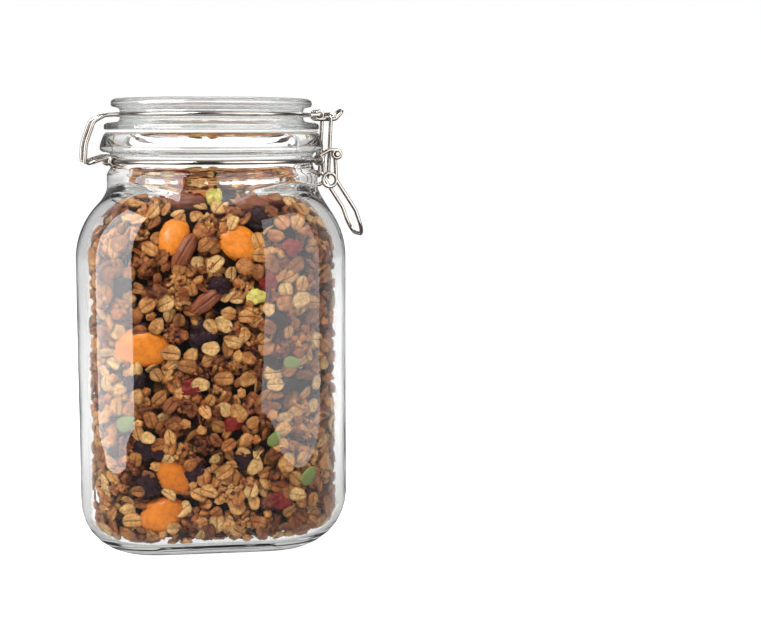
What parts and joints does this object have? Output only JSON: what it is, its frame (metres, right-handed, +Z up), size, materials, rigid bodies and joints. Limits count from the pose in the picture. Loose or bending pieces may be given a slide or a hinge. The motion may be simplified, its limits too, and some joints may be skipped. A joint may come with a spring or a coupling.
{
  "type": "bail clamp jar",
  "caption": "Square glass storage jar with a round neck, glass lid and seal, held shut by a wire hinge and an over-centre wire bail latch.",
  "frame": {"origin": "on the jar's vertical axis, at the ring-shaped flat face that it stands on", "axes": "+Z up along the jar's axis, the body's faces square to X and Y; the wires sit turned 12 degrees about +Z on the round neck, so the lid's hinge is near -X, its latch near +X, and every pivot's axis is level, 12 degrees off Y"},
  "size_m": [0.1326, 0.121, 0.2026],
  "materials": {
    "clear_glass": "clear pressed glass",
    "clear_silicone": "translucent, satin",
    "steel_wire": "drawn stainless wire, polished"
  },
  "bodies": {
    "jar": {"jar_body": "clear_glass", "neck_ring": "steel_wire", "hinge_bracket": "steel_wire", "latch_eyelets": "steel_wire"},
    "lid": {"lid_glass": "clear_glass", "gasket": "clear_silicone", "lid_ring": "steel_wire", "catch_tongue": "steel_wire"},
    "lever": {"lever": "steel_wire"},
    "link": {"bail_link": "steel_wire"}
  },
  "joints": [
    {"name": "lid_hinge", "type": "hinge", "parent": "jar", "child": "lid", "pos_m": [-0.05624, -0.01195, 0.1735], "axis": [0.2079, -0.9781, 0], "range_deg": [0, 190]},
    {"name": "lever_pivot", "type": "hinge", "parent": "jar", "child": "lever", "pos_m": [0.05497, 0.01168, 0.1769], "axis": [0.2079, -0.9781, 0], "range_deg": [0, 120]},
    {"name": "link_pivot", "type": "hinge", "parent": "lever", "child": "link", "pos_m": [0.05243, 0.01114, 0.1659], "axis": [0.2079, -0.9781, 0], "range_deg": [-90, 0]}
  ],
  "couplings": [
    {"joint": "link_pivot", "follows": "lever_pivot", "ratio": -0.75}
  ]
}
